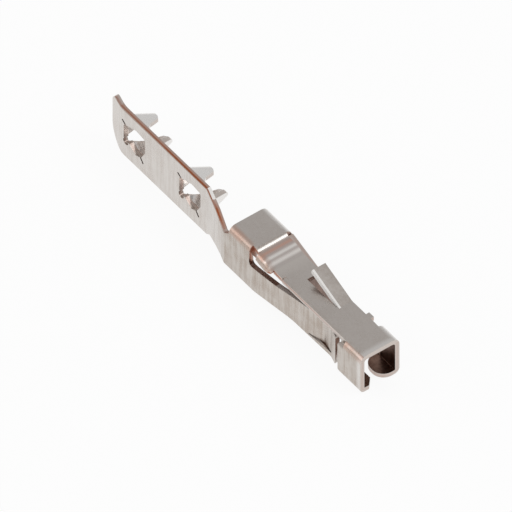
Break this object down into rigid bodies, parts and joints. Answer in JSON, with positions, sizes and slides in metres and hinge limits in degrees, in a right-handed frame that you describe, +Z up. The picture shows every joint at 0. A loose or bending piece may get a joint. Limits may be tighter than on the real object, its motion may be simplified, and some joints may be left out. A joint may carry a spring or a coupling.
{
  "type": "flat flex crimp contact",
  "caption": "Folded sheet-metal contact: pierced crimp plate with barbs for flat cable, neck, and a receptacle with spring beams and a locking tongue for a square post.",
  "frame": {"origin": "under the middle of the part's box, level with its lowest edge, the crimp plate's lower edge", "axes": "+X along the contact towards the mating mouth, +Y from the base wall to the far wall, +Z up to the side with the locking tongue"},
  "size_m": [0.0158, 0.0018, 0.0026],
  "materials": {
    "tinned_strip": "bright tin plate over copper alloy, bare at the cut edges"
  },
  "bodies": {
    "root": {"contact": "tinned_strip"}
  },
  "joints": []
}
